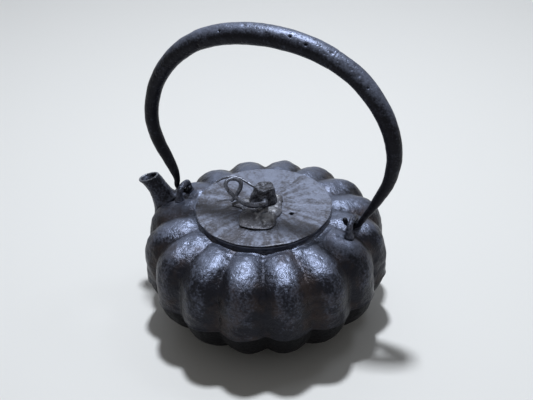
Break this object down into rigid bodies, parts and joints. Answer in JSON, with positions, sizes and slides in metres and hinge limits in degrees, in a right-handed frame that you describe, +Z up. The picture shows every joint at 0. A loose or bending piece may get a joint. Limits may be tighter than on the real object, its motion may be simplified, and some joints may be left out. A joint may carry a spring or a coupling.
{
  "type": "cast iron kettle",
  "caption": "Squat melon-shaped cast iron kettle with a short tapered spout, a lift-off lid with a stalk knob and a swinging bail handle.",
  "frame": {"origin": "centre of the flat base, on the table", "axes": "+Z up, the spout points along -X, and the handle swings about an axis parallel to X"},
  "size_m": [0.2155, 0.1874, 0.2412],
  "materials": {
    "body_iron": "rough cast skin, near black with brown tints",
    "lid_iron": "smoother worn cast skin, grey",
    "knob_iron": "dark patinated iron",
    "handle_iron": "forged iron, satin black, finely pitted"
  },
  "bodies": {
    "kettle": {"body_shell": "body_iron", "spout": "body_iron", "lug_left": "body_iron", "lug_right": "body_iron"},
    "lid": {"lid_plate": "lid_iron", "knob_seat": "knob_iron", "knob_stem": "knob_iron", "knob_washer": "knob_iron", "vine_tendril": "knob_iron", "vine_sprig": "knob_iron"},
    "handle": {"handle_grip": "handle_iron", "handle_arm_left": "handle_iron", "handle_arm_right": "handle_iron"}
  },
  "joints": [
    {"name": "handle_swing", "type": "hinge", "parent": "kettle", "child": "handle", "pos_m": [0, 0, 0.0932], "axis": [1, 0, 0], "range_deg": [-94, 97]},
    {"name": "lid_lift", "type": "slide", "parent": "kettle", "child": "lid", "axis": [0, 0, 1], "range_m": [0, 0.06]}
  ]
}
